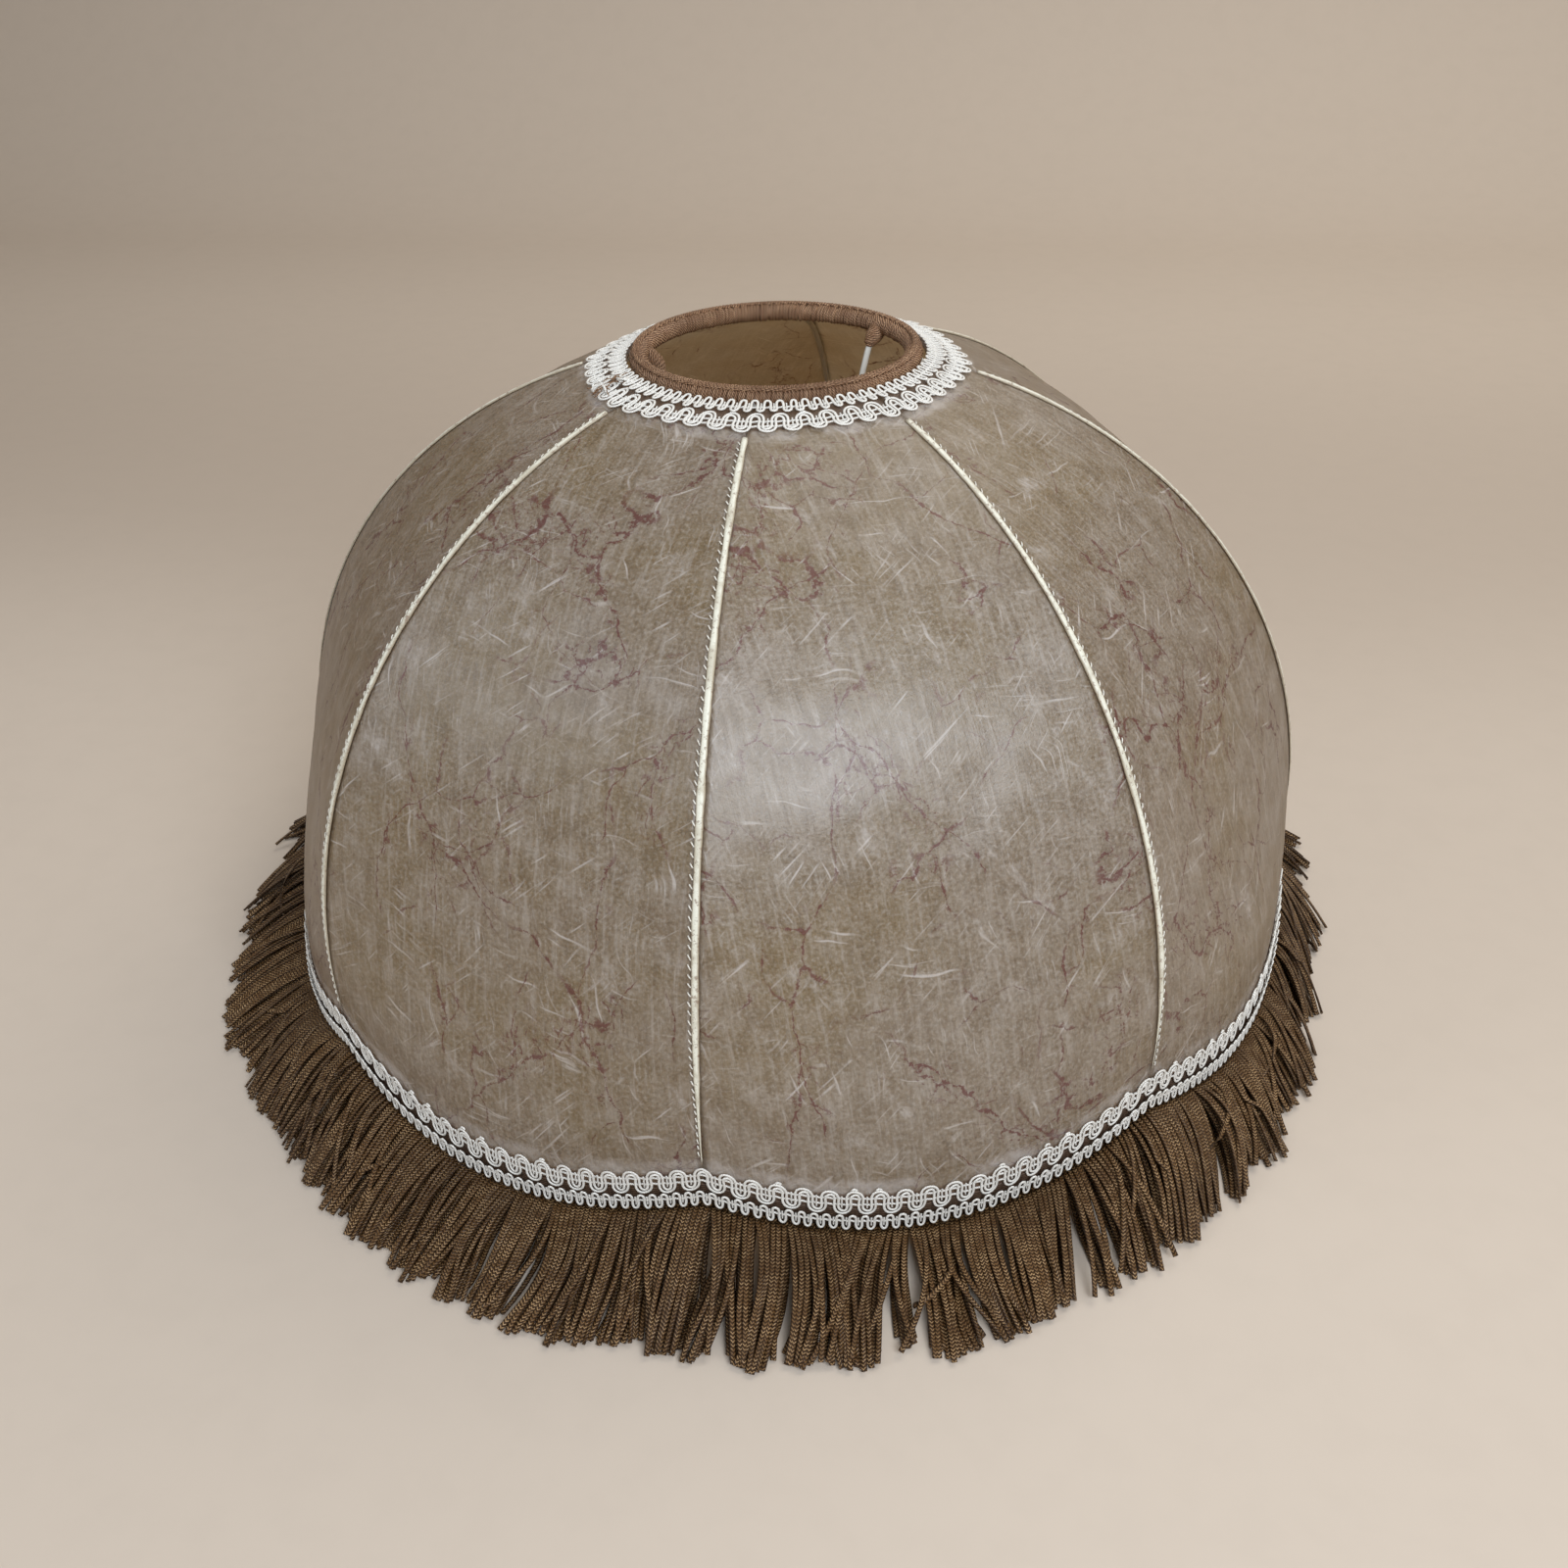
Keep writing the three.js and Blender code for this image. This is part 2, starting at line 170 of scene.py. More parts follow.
def makePiece(name, parts, material, edges=None):
    vertices, quads, uv, start = [], [], [], 0
    for partVertices, partQuads, partUv in parts:
        vertices.append(partVertices)
        quads.append(partQuads + start)
        uv.append(partUv)
        start += len(partVertices)
    vertices = np.concatenate(vertices)
    quads = np.concatenate(quads)
    uv = np.concatenate(uv)
    mesh = bpy.data.meshes.new(name)
    mesh.vertices.add(len(vertices))
    mesh.vertices.foreach_set("co", vertices.astype(np.float32).ravel())
    mesh.loops.add(len(quads) * 4)
    mesh.loops.foreach_set("vertex_index", quads.astype(np.int32).ravel())
    mesh.polygons.add(len(quads))
    mesh.polygons.foreach_set("loop_start", np.arange(0, len(quads) * 4, 4, dtype=np.int32))
    mesh.polygons.foreach_set("use_smooth", np.ones(len(quads), dtype=bool))
    for layer, values in (("cloth", uv), ("edges", edges)):
        if values is not None:
            corners = values[quads.ravel()].astype(np.float32)
            mesh.uv_layers.new(name=layer).data.foreach_set("uv", corners.ravel())
    mesh.update(calc_edges=True)
    mesh.validate()
    piece = bpy.data.objects.new(name, mesh)
    bpy.context.scene.collection.objects.link(piece)
    piece.data.materials.append(material)
    return piece


def finishPiece(piece, slot, *nodes):
    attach(piece, "root")
    if nodes:
        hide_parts(*nodes)


# materials
def addNode(tree, kind, links=None, **settings):
    node = tree.nodes.new(kind)
    for name, value in settings.items():
        setattr(node, name, value)
    for socket, value in (links or {}).items():
        if isinstance(value, bpy.types.NodeSocket):
            tree.links.new(value, node.inputs[socket])
        else:
            node.inputs[socket].default_value = value
    return node


def calc(tree, operation, first, second):
    return addNode(tree, "ShaderNodeMath", {0: first, 1: second}, operation=operation).outputs[0]


def calcVector(tree, operation, first, second):
    return addNode(tree, "ShaderNodeVectorMath", {0: first, 1: second}, operation=operation).outputs[0]


def noiseOf(tree, coords, scale, detail, roughness, output=0):
    links = {"Vector": coords, "Scale": scale, "Detail": detail, "Roughness": roughness}
    return addNode(tree, "ShaderNodeTexNoise", links).outputs[output]


def between(tree, value, low, high, toLow=0.0, toHigh=1.0):
    links = {0: value, 1: low, 2: high, 3: toLow, 4: toHigh}
    node = addNode(tree, "ShaderNodeMapRange", links, clamp=True, interpolation_type="SMOOTHSTEP")
    return node.outputs[0]


def mixColour(tree, share, first, second):
    node = addNode(tree, "ShaderNodeMix", data_type="RGBA")
    for socket, value in ((0, share), (6, first), (7, second)):
        if isinstance(value, bpy.types.NodeSocket):
            tree.links.new(value, node.inputs[socket])
        else:
            node.inputs[socket].default_value = value if socket == 0 else (*value, 1)
    return node.outputs[2]


def moved(tree, coords, x, y, turn=0.0):
    links = {"Vector": coords, "Location": (x, y, 0), "Rotation": (0, 0, turn)}
    return addNode(tree, "ShaderNodeMapping", links).outputs[0]


# turns the coordinates first and then stretches them, so streaks run in the turned direction
def stretched(tree, coords, turn, alongX, alongY, apart=0.0):
    return calcVector(tree, "MULTIPLY", moved(tree, coords, apart, apart, turn), (alongX, alongY, 1))


def newMaterial(name):
    material = bpy.data.materials.new(name)
    material.use_nodes = True
    tree = material.node_tree
    shader = tree.nodes["Principled BSDF"]
    return material, tree, shader


def uvCoords(tree, layer="cloth"):
    return addNode(tree, "ShaderNodeUVMap", uv_map=layer).outputs[0]


def solidCoords(tree):
    return addNode(tree, "ShaderNodeTexCoord").outputs["Object"]


def setBump(tree, shader, height, strength, depth):
    links = {"Height": height, "Strength": strength, "Distance": depth}
    bump = addNode(tree, "ShaderNodeBump", links)
    tree.links.new(bump.outputs[0], shader.inputs["Normal"])


skinLook = dict(
    taupe=(0.275, 0.225, 0.168), olive=(0.255, 0.192, 0.100), pale=(0.60, 0.57, 0.53),
    # shade darkens the mottling and also paints shade in the crease beside the piping; the colour under the
    # trim is painted shade
    shade=(0.105, 0.073, 0.047), hair=(0.84, 0.82, 0.80), patch=(0.80, 0.78, 0.77),
    vein=(0.175, 0.040, 0.034), glue=(0.70, 0.68, 0.67), shadeUnderTrim=(0.12, 0.07, 0.045),
    glow=(0.95, 0.82, 0.64), glowOlive=(0.70, 0.50, 0.28), glowVein=(0.25, 0.10, 0.06),
    glowShare=0.44, gloss=0.36, hairTurns=(0.35, -0.75, 1.45, 2.25),
    veinSets=(  # how many, which way, width, how sparse, a shift of its own, twigs
        dict(scale=13, turn=0.25, stretch=0.5, width=0.00062, keepAbove=0.43, apart=0.0, twigs=True),
        dict(scale=22, turn=-0.6, stretch=0.5, width=0.00048, keepAbove=0.46, apart=5.0, twigs=True),
        dict(scale=40, turn=1.0, stretch=0.6, width=0.0004, keepAbove=0.54, apart=9.0, twigs=False),
    ),
)


# pale hair lines and scratches that run in several directions
def hairLines(tree, flat):
    wander = noiseOf(tree, flat, 14, 3, 0.6)
    sway = {0: calc(tree, "MULTIPLY", wander, 0.03), 1: calc(tree, "MULTIPLY", wander, -0.02)}
    offset = addNode(tree, "ShaderNodeCombineXYZ", sway).outputs[0]
    bent = calcVector(tree, "ADD", flat, offset)
    lines = None
    for turn in skinLook["hairTurns"]:
        fine = 640 + 120 * math.sin(7 * turn)
        hair = noiseOf(tree, stretched(tree, bent, turn, fine, fine / 24, turn), 1.0, 2, 0.5)
        spread = noiseOf(tree, moved(tree, flat, turn, turn), 42, 2, 0.6)
        line = calc(tree, "MULTIPLY", between(tree, hair, 0.61, 0.72), between(tree, spread, 0.46, 0.62))
        lines = line if lines is None else calc(tree, "MAXIMUM", lines, line)
    return lines


def cellEdge(tree, coords, scale):
    links = {"Vector": coords, "Scale": scale}
    return addNode(tree, "ShaderNodeTexVoronoi", links, feature="DISTANCE_TO_EDGE").outputs["Distance"]


# red-brown veins: the borders of stretched cells, broken up, with finer twigs close by
def redVeins(tree, flat):
    shaken = flat
    for scale, detail, roughness, reach in ((22, 2, 0.5, 0.036), (210, 3, 0.7, 0.0034)):
        push = noiseOf(tree, flat, scale, detail, roughness, 1)
        push = calcVector(tree, "SUBTRACT", push, (0.5, 0.5, 0.5))
        push = calcVector(tree, "MULTIPLY", push, (reach, reach, reach))
        shaken = calcVector(tree, "ADD", shaken, push)
    thick = noiseOf(tree, flat, 230, 3, 0.75)
    veins = None
    for kind in skinLook["veinSets"]:
        turn, apart, keep = kind["turn"], kind["apart"], kind["keepAbove"]
        edge = cellEdge(tree, stretched(tree, shaken, turn, 1, kind["stretch"], apart), kind["scale"])
        gap = calc(tree, "DIVIDE", edge, kind["scale"])
        limit = calc(tree, "MULTIPLY", between(tree, thick, 0.38, 0.66), kind["width"])
        line = between(tree, calc(tree, "SUBTRACT", gap, limit), 0.00022, -0.00022)
        where = noiseOf(tree, moved(tree, flat, apart, 4), 16, 3, 0.6)
        vein = calc(tree, "MULTIPLY", line, between(tree, where, keep, keep + 0.09))
        if kind["twigs"]:
            near = calc(tree, "MULTIPLY", between(tree, gap, 0.0075, 0.001),
                        between(tree, where, keep + 0.10, keep + 0.16))
            twigEdge = cellEdge(tree, stretched(tree, shaken, turn + 0.6, 1, 0.4, apart), 200)
            twig = calc(tree, "MULTIPLY", between(tree, twigEdge, 0.085, 0.02), near)
            twig = calc(tree, "MULTIPLY", twig, between(tree, thick, 0.47, 0.56))
            vein = calc(tree, "MAXIMUM", vein, twig)
        veins = vein if veins is None else calc(tree, "MAXIMUM", veins, vein)
    return veins


def makeSkinMaterial():
    material, tree, shader = newMaterial("goatskin")
    flat = uvCoords(tree)
    edges = addNode(tree, "ShaderNodeSeparateXYZ", {0: uvCoords(tree, "edges")})
    fromRib, fromTrim = edges.outputs[0], edges.outputs[1]
    look = skinLook
    cloud = noiseOf(tree, flat, 11, 4, 0.55)
    colour = mixColour(tree, between(tree, cloud, 0.38, 0.62), look["taupe"], look["olive"])
    fibre = noiseOf(tree, flat, 640, 3, 0.75)
    grain = noiseOf(tree, stretched(tree, flat, 0.1, 430, 34), 1.0, 3, 0.7)
    mottle = noiseOf(tree, flat, 85, 4, 0.7)
    # each noise pales the skin where it is high and darkens it where it is low
    for noise, low, high, share, tone in (
            (mottle, 0.42, 0.68, 0.26, "pale"), (mottle, 0.50, 0.32, 0.26, "shade"),
            (fibre, 0.48, 0.68, 0.45, "pale"), (fibre, 0.50, 0.34, 0.45, "shade"),
            (grain, 0.50, 0.70, 0.38, "pale"), (grain, 0.48, 0.30, 0.32, "shade")):
        colour = mixColour(tree, between(tree, noise, low, high, 0.0, share), colour, look[tone])
    lines = hairLines(tree, flat)
    colour = mixColour(tree, calc(tree, "MULTIPLY", lines, 0.62), colour, look["hair"])
    patches = noiseOf(tree, stretched(tree, flat, 0.6, 1, 0.55, 3.0), 46, 5, 0.78)
    colour = mixColour(tree, between(tree, patches, 0.57, 0.74, 0.0, 0.50), colour, look["patch"])
    veins = redVeins(tree, flat)
    colour = mixColour(tree, calc(tree, "MULTIPLY", veins, 0.78), colour, look["vein"])
    # glue lightens the skin beside the braid; painted shade darkens it under the braid and in the crease
    # beside the piping
    glue = between(tree, patches, 0.42, 0.62, 0.05, 0.6)
    glue = calc(tree, "MULTIPLY", between(tree, fromTrim, 0.0045, 0.0), glue)
    colour = mixColour(tree, glue, colour, look["glue"])
    trimShadeMask = between(tree, fromTrim, -0.0036, -0.0056, 0.0, 0.85)
    colour = mixColour(tree, trimShadeMask, colour, look["shadeUnderTrim"])
    colour = mixColour(tree, between(tree, fromRib, 0.0026, 0.0012, 0.0, 0.5), colour, look["shade"])
    tree.links.new(colour, shader.inputs["Base Color"])
    gloss = between(tree, fibre, 0.35, 0.65, look["gloss"] - 0.07, look["gloss"] + 0.13)
    gloss = calc(tree, "ADD", gloss, calc(tree, "MULTIPLY", lines, 0.1))
    tree.links.new(gloss, shader.inputs["Roughness"])
    shader.inputs["Specular IOR Level"].default_value = 0.9
    shader.inputs["Coat Weight"].default_value = 0.55
    shader.inputs["Coat Roughness"].default_value = 0.42
    relief = calc(tree, "ADD", calc(tree, "MULTIPLY", fibre, 0.5), calc(tree, "MULTIPLY", grain, 0.55))
    setBump(tree, shader, relief, 0.8, 0.0004)
    tree.links.new(shader.inputs["Normal"].links[0].from_socket, shader.inputs["Coat Normal"])
    # light from outside shows through to the inside
    glow = mixColour(tree, calc(tree, "MULTIPLY", veins, 0.85), look["glow"], look["glowVein"])
    glow = mixColour(tree, between(tree, cloud, 0.35, 0.65, 0.0, 0.5), glow, look["glowOlive"])
    through = addNode(tree, "ShaderNodeBsdfTranslucent", {"Color": glow})
    both = addNode(tree, "ShaderNodeMixShader", {0: look["glowShare"], 1: shader.outputs[0],
                                                 2: through.outputs[0]})
    tree.links.new(both.outputs[0], tree.nodes["Material Output"].inputs["Surface"])
    return material


# knitted or twisted cord: uv is (-1..1 across, metres along)
def makeCordMaterial(name, dark, mid, light, pitch, slant, gloss, specular, relief, folded=False):
    material, tree, shader = newMaterial(name)
    parts = addNode(tree, "ShaderNodeSeparateXYZ", {0: uvCoords(tree)})
    across = calc(tree, "ABSOLUTE", parts.outputs[0], 0.0) if folded else parts.outputs[0]
    lean = calc(tree, "MULTIPLY", across, slant * pitch)
    turns = calc(tree, "DIVIDE", calc(tree, "ADD", parts.outputs[1], lean), pitch)
    wave = calc(tree, "PINGPONG", turns, 0.5)
    ridge = between(tree, wave, 0.02, 0.4)
    spots = noiseOf(tree, solidCoords(tree), 260, 4, 0.6)
    wide = noiseOf(tree, solidCoords(tree), 38, 3, 0.5)
    fuzz = noiseOf(tree, solidCoords(tree), 1500, 2, 0.6)
    # painted shade: the grooves between stitches take the dark colour
    colour = mixColour(tree, ridge, dark, mid)
    # painted highlight: glints of the light colour on the stitch crests
    paintedGlint = calc(tree, "MULTIPLY", between(tree, wave, 0.36, 0.5), between(tree, spots, 0.4, 0.62))
    colour = mixColour(tree, paintedGlint, colour, light)
    colour = mixColour(tree, between(tree, wide, 0.35, 0.68, 0.0, 0.35), colour, dark)
    if folded:  # the edges of a knitted cord lie in shade
        colour = mixColour(tree, between(tree, across, 0.60, 0.98, 0.0, 0.8), colour, dark)
    tree.links.new(colour, shader.inputs["Base Color"])
    tree.links.new(between(tree, fuzz, 0.3, 0.7, gloss - 0.06, gloss + 0.1), shader.inputs["Roughness"])
    shader.inputs["Specular IOR Level"].default_value = specular
    setBump(tree, shader, calc(tree, "ADD", ridge, calc(tree, "MULTIPLY", fuzz, 0.25)), 0.8, relief)
    return material


def makeWireMaterial():
    material, tree, shader = newMaterial("whiteEnamel")
    coords = solidCoords(tree)
    chips = between(tree, noiseOf(tree, coords, 210, 5, 0.7), 0.66, 0.72)
    stain = noiseOf(tree, coords, 30, 3, 0.5)
    age = between(tree, stain, 0.35, 0.7, 0.0, 0.5)
    colour = mixColour(tree, age, (0.66, 0.65, 0.60), (0.50, 0.46, 0.38))
    colour = mixColour(tree, chips, colour, (0.13, 0.075, 0.04))
    tree.links.new(colour, shader.inputs["Base Color"])
    tree.links.new(between(tree, chips, 0.0, 1.0, 0.32, 0.7), shader.inputs["Roughness"])
    setBump(tree, shader, calc(tree, "SUBTRACT", calc(tree, "MULTIPLY", stain, 0.5), chips), 0.5, 0.0001)
    return material


def makeBeadMaterial():
    material, tree, shader = newMaterial("creamPiping")
    coords = solidCoords(tree)
    parts = addNode(tree, "ShaderNodeSeparateXYZ", {0: uvCoords(tree)})
    middle = between(tree, calc(tree, "ABSOLUTE", parts.outputs[0], 0.0), 1.0, 0.35)
    specks = between(tree, noiseOf(tree, coords, 520, 4, 0.75), 0.53, 0.66)
    patches = noiseOf(tree, coords, 75, 4, 0.65)
    colour = mixColour(tree, middle, (0.36, 0.29, 0.20), (0.78, 0.76, 0.64))
    colour = mixColour(tree, between(tree, patches, 0.45, 0.65, 0.0, 0.55), colour, (0.44, 0.38, 0.27))
    colour = mixColour(tree, calc(tree, "MULTIPLY", specks, 0.75), colour, (0.24, 0.15, 0.10))
    tree.links.new(colour, shader.inputs["Base Color"])
    tree.links.new(between(tree, patches, 0.3, 0.7, 0.38, 0.6), shader.inputs["Roughness"])
    grain = calc(tree, "ADD", calc(tree, "MULTIPLY", specks, -0.5), noiseOf(tree, coords, 900, 3, 0.6))
    setBump(tree, shader, grain, 0.6, 0.0002)
    return material


def makeThreadMaterial(name, colour, shadow):
    material, tree, shader = newMaterial(name)
    fibres = noiseOf(tree, solidCoords(tree), 1800, 2, 0.6)
    twisted = mixColour(tree, between(tree, fibres, 0.35, 0.65), shadow, colour)
    tree.links.new(twisted, shader.inputs["Base Color"])
    shader.inputs["Roughness"].default_value = 0.6
    setBump(tree, shader, fibres, 0.6, 0.0001)
    return material


skinMaterial = makeSkinMaterial()
beadMaterial = makeBeadMaterial()
wireMaterial = makeWireMaterial()
stitchMaterial = makeThreadMaterial("stitchThread", (0.90, 0.88, 0.80), (0.60, 0.56, 0.48))
# in each cord look, dark is painted shade in the grooves and on the edges of folded cords as well as darker
# random patches, and light is painted glints
cordLooks = dict(
    ivoryGimp=dict(dark=(0.82, 0.79, 0.72), mid=(0.97, 0.95, 0.90), light=(0.99, 0.985, 0.96),
                   pitch=0.0009, slant=0.8, gloss=0.42, specular=0.45, relief=0.00018),
    woundYarn=dict(dark=(0.070, 0.030, 0.014), mid=(0.39, 0.215, 0.115), light=(0.88, 0.58, 0.35),
                   pitch=0.0011, slant=0.9, gloss=0.5, specular=0.4, relief=0.0003),
    fringeCord=dict(dark=(0.028, 0.012, 0.004), mid=(0.158, 0.081, 0.028), light=(0.68, 0.46, 0.24),
                    pitch=0.0015, slant=0.75, gloss=0.40, specular=0.3, relief=0.00035, folded=True),
    fringeHeading=dict(dark=(0.030, 0.016, 0.009), mid=(0.105, 0.060, 0.036), light=(0.2, 0.13, 0.08),
                       pitch=0.0012, slant=0.5, gloss=0.6, specular=0.3, relief=0.0002, folded=True),
)
gimpMaterial = makeCordMaterial("ivoryGimp", **cordLooks["ivoryGimp"])
yarnMaterial = makeCordMaterial("woundYarn", **cordLooks["woundYarn"])
fringeMaterial = makeCordMaterial("fringeCord", **cordLooks["fringeCord"])
headingMaterial = makeCordMaterial("fringeHeading", **cordLooks["fringeHeading"])
print("materials made")

# the camera stands in front, a little to the right, and looks down
cameraPlace = dict(place=(0.0995, -0.6585, 0.4982), heading=(-0.1521, 0.9884), down=33.06, roll=1.6,
                   lens=35.33)


def addCamera():
    place = cameraPlace
    down = math.radians(place["down"])
    headX, headY = place["heading"]
    forward = Vector((headX * math.cos(down), headY * math.cos(down), -math.sin(down))).normalized()
    right = Vector((headY, -headX, 0)).normalized()
    up = right.cross(forward)
    roll = math.radians(place["roll"])
    side = right * math.cos(roll) - up * math.sin(roll)
    top = up * math.cos(roll) + right * math.sin(roll)
    data = bpy.data.cameras.new("camera")
    data.lens = place["lens"]
    data.sensor_width = 36
    camera = bpy.data.objects.new("camera", data)
    bpy.context.scene.collection.objects.link(camera)
    turn = Matrix((side, top, -forward)).transposed()
    camera.matrix_world = Matrix.Translation(place["place"]) @ turn.to_4x4()
    bpy.context.scene.camera = camera


lights = (
    dict(name="window", place=(0.74, -1.34, 1.28), aim=(0.0, 0.0, 0.1), size=(1.0, 0.9), power=29.0,
         colour=(0.84, 0.91, 1.0)),
    dict(name="leftWindow", place=(-1.45, -0.75, 1.0), aim=(0.0, 0.0, 0.15), size=(0.8, 0.7), power=6.5,
         colour=(0.82, 0.90, 1.0)),
    dict(name="ceiling", place=(0.80, 0.95, 2.0), aim=(0.0, 0.2, 0.0), size=(1.7, 1.7), power=21.0,
         colour=(1.0, 0.95, 0.87)),
)


def addLights():
    for light in lights:
        data = bpy.data.lights.new(light["name"], "AREA")
        data.shape = "RECTANGLE"
        data.size, data.size_y = light["size"]
        data.energy = light["power"]
        data.color = light["colour"]
        lamp = bpy.data.objects.new(light["name"], data)
        bpy.context.scene.collection.objects.link(lamp)
        place = Vector(light["place"])
        turn = (Vector(light["aim"]) - place).to_track_quat("-Z", "Y").to_matrix().to_4x4()
        lamp.matrix_world = Matrix.Translation(place) @ turn
    world = bpy.data.worlds.new("room")
    bpy.context.scene.world = world
    world.use_nodes = True
    world.node_tree.nodes["Background"].inputs["Color"].default_value = (0.95, 0.90, 0.84, 1)
    world.node_tree.nodes["Background"].inputs["Strength"].default_value = 0.29


floorLook = dict(colour=(0.605, 0.52, 0.435), shade=(0.50, 0.42, 0.345), back=1.35, bend=0.5, height=2.0)


def addFloor():
    look = floorLook
    sweep = [(-4.0, 0.0), (look["back"], 0.0)]
    for i in range(1, 17):
        a = i / 16 * math.pi / 2
        sweep.append((look["back"] + look["bend"] * math.sin(a), look["bend"] * (1 - math.cos(a))))
    sweep.append((look["back"] + look["bend"], look["height"]))
    points = np.array([[(x, y, z) for x in (-5.0, 5.0)] for y, z in sweep])
    material, tree, shader = newMaterial("studioFloor")
    coords = solidCoords(tree)
    place = addNode(tree, "ShaderNodeSeparateXYZ", {0: coords})
    away = place.outputs[1]
    # painted shade: a soft darker band across the floor from 0.12 m to 1.1 m behind the middle
    band = calc(tree, "MULTIPLY", between(tree, away, 0.12, 0.5), between(tree, away, 1.1, 0.55))
    grain = noiseOf(tree, coords, 45, 4, 0.6)
    colour = mixColour(tree, calc(tree, "MULTIPLY", band, 0.8), look["colour"], look["shade"])
    colour = mixColour(tree, between(tree, grain, 0.4, 0.7, 0.0, 0.05), colour, (0.4, 0.34, 0.28))
    tree.links.new(colour, shader.inputs["Base Color"])
    shader.inputs["Roughness"].default_value = 0.7
    shader.inputs["Specular IOR Level"].default_value = 0.25
    makePiece("studio_floor", [gridPart(points, points[..., :2])], material)


addCamera()
addLights()
addFloor()
bpy.context.scene.view_settings.view_transform = "Standard"
print("camera, lights and floor placed")

# skins: one gore between each pair of ribs
skins = dict(columns=48, rows=110, thickness=0.0006, edgeGap=0.00015, wave=0.0005)


def skinWave(seed, x, y):
    total = np.zeros_like(x)
    rng = np.random.default_rng(seed)
    for size in (0.09, 0.06, 0.04, 0.026):
        turn, phase, other = rng.uniform(0, 2 * math.pi, 3)
        first = 2 * math.pi * (x * math.cos(turn) + y * math.sin(turn)) / size + phase
        second = 2 * math.pi * (y * math.cos(turn) - x * math.sin(turn)) / (1.6 * size) + other
        total += size / 0.09 * np.sin(first) * np.sin(second)
    return total


def addSkins():
    for lobe in range(shade["ribCount"]):
        rows = np.linspace(0, skinLength, skins["rows"] + 1)[:, None]
        radius = np.interp(rows, curveLengths, curvePoints[:, 0])
        shy = skins["edgeGap"] / radius
        share = (np.arange(skins["columns"] + 1) / skins["columns"])[None, :]
        angle = lobe * lobeAngle + np.clip(share * lobeAngle, shy, lobeAngle - shy)
        distance = np.broadcast_to(rows, angle.shape)
        local = fromLobeMiddle(np.clip(angle, lobe * lobeAngle + 1e-6, (lobe + 1) * lobeAngle - 1e-6))
        across = np.tan(local) * radius * math.cos(lobeAngle / 2)
        width = 2 * np.abs(across).max(axis=1)
        fromRib = width[:, None] / 2 - np.abs(across)
        fromTrim = np.minimum(distance - trimDepth, skinLength - trimDepth - distance)
        ease = smoothStep(fromRib / 0.03) * smoothStep(fromTrim / 0.02)
        wave = skins["wave"] * ease * skinWave(20 + lobe, across, distance)
        outer = skinPoint(angle, distance, wave)
        inner = skinPoint(angle, distance, wave - skins["thickness"])
        uv = np.stack([across + 0.731 * lobe, distance + 0.413 * lobe], -1)
        loop = np.concatenate([outer, inner[:, ::-1]], axis=1)
        loopUv = np.concatenate([uv, uv[:, ::-1]], axis=1)
        edges = np.stack(np.broadcast_arrays(fromRib, fromTrim), -1)
        loopEdges = np.concatenate([edges, edges[:, ::-1]], axis=1)
        count, sides = loop.shape[:2]
        index = np.arange(count * sides).reshape(count, sides)
        turned = np.roll(index, -1, axis=1)
        quads = np.stack([index[:-1], index[1:], turned[1:], turned[:-1]], -1).reshape(-1, 4)
        half = np.arange(sides // 2 - 1)
        top = np.stack([half, half + 1, sides - 2 - half, sides - 1 - half], -1)
        quads = np.concatenate([quads, top, (count - 1) * sides + top[:, ::-1]])
        part = (loop.reshape(-1, 3), quads, loopUv.reshape(-1, 2))
        piece = makePiece(f"skin_{lobe + 1}", [part], skinMaterial, loopEdges.reshape(-1, 2))
        finishPiece(piece, "skin", f"skin_panel_{lobe + 1}")


addSkins()

# the raised piping over each rib and the stitches along one side of it
beads = dict(width=0.0031, height=0.0010, fade=0.06, stitchPitch=0.0038, stitchLength=0.0019,
             stitchWidth=0.00055)


def sideways(angle):
    return np.array([-math.sin(angle), math.cos(angle), 0.0])


def addBeads():
    top, bottom = trimDepth + 0.0003, skinLength - trimDepth - 0.0003
    distance = np.linspace(top, bottom, 150)
    fade = 0.16 + 0.84 * smoothStep((bottom - distance) / beads["fade"])
    arc = np.linspace(0, math.pi, 7)
    section = np.concatenate([np.stack([np.cos(arc), np.sin(arc)], -1), [[0.0, 0.0]]])
    for rib in range(shade["ribCount"]):
        angle = rib * lobeAngle
        rng = np.random.default_rng(60 + rib)
        uneven = 1 + 0.16 * np.convolve(rng.normal(0, 1, len(distance)), np.ones(4) / 4, "same")
        ridge = skinPoint(angle, distance, 0.00004)
        out = skinNormal(angle, distance)
        shape = section * [beads["width"] / 2, beads["height"]]
        part = tubePart(ridge, out, shape, fade * uneven)
        piece = makePiece(f"rib_piping_{rib + 1}", [part], beadMaterial)
        finishPiece(piece, "seam", f"seam_bead_{rib + 1}")
        stitches = []
        away = 1 if rib in (0, 1, 7) else -1  # the side the stitches show on
        start = top + 0.002
        while start < bottom - 0.003:
            reach = beads["stitchLength"] * rng.uniform(0.8, 1.15)
            along = start + np.array([0.0, 0.3, 0.7, 1.0]) * reach
            size = np.interp(along, distance, fade)
            lean = np.array([1.75, 1.5, 1.2, 0.95]) * beads["width"] / 2 * np.maximum(size, 0.45)
            lift = np.array([0.00005, 0.00034, 0.00044, 0.0003])
            points = skinPoint(angle, along, lift) + away * lean[:, None] * sideways(angle)
            normals = skinNormal(angle, along)
            stitches.append(tubePart(points, normals, roundSection(beads["stitchWidth"] / 2, 6)))
            start += beads["stitchPitch"] * rng.uniform(0.9, 1.1)
        piece = makePiece(f"rib_stitches_{rib + 1}", stitches, stitchMaterial)
        finishPiece(piece, "seam")
    print("piping and stitches made")


addBeads()


